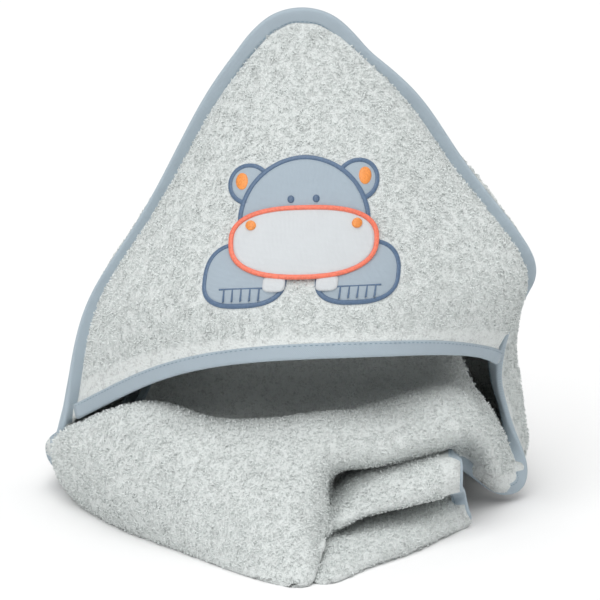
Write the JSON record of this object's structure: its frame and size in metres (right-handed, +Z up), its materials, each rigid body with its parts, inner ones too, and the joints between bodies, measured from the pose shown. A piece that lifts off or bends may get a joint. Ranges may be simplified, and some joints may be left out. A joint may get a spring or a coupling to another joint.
{
  "type": "hooded baby towel",
  "caption": "Terry hooded baby towel standing in a soft cone on its gathered cloth, hood panel to the front with an animal appliqué, bias-bound edges.",
  "frame": {"origin": "on the floor, under the middle of the bundle's bounding box", "axes": "+X to the right as seen from the front, +Y to the back, +Z up, the hood panel faces -Y"},
  "size_m": [0.352, 0.338, 0.3587],
  "materials": {
    "terry": "looped terry towelling, pale grey",
    "tape": "woven bias tape, pale steel blue",
    "patch_grey": "smooth woven cotton, grey blue",
    "patch_white": "smooth woven cotton, off white",
    "thread_blue": "satin-stitched embroidery thread, slate blue",
    "thread_coral": "satin-stitched embroidery thread, coral",
    "thread_orange": "satin-stitched embroidery thread, orange"
  },
  "bodies": {
    "root": {"towel_body": "terry", "hood_panel": "terry", "edge_binding": "tape", "hood_hem_binding": "tape", "head_patch": "patch_grey", "head_outline": "thread_blue", "muzzle_patch": "patch_white", "muzzle_outline": "thread_coral", "left_foot_patch": "patch_grey", "left_foot_outline": "thread_blue", "left_foot_grid": "thread_blue", "left_ear_patch": "patch_grey", "left_ear_outline": "thread_blue", "left_ear_fill": "thread_orange", "left_tooth": "patch_white", "left_eye": "thread_blue", "left_nostril": "thread_orange", "right_foot_patch": "patch_grey", "right_foot_outline": "thread_blue", "right_foot_grid": "thread_blue", "right_ear_patch": "patch_grey", "right_ear_outline": "thread_blue", "right_ear_fill": "thread_orange", "right_tooth": "patch_white", "right_eye": "thread_blue", "right_nostril": "thread_orange"}
  },
  "joints": []
}
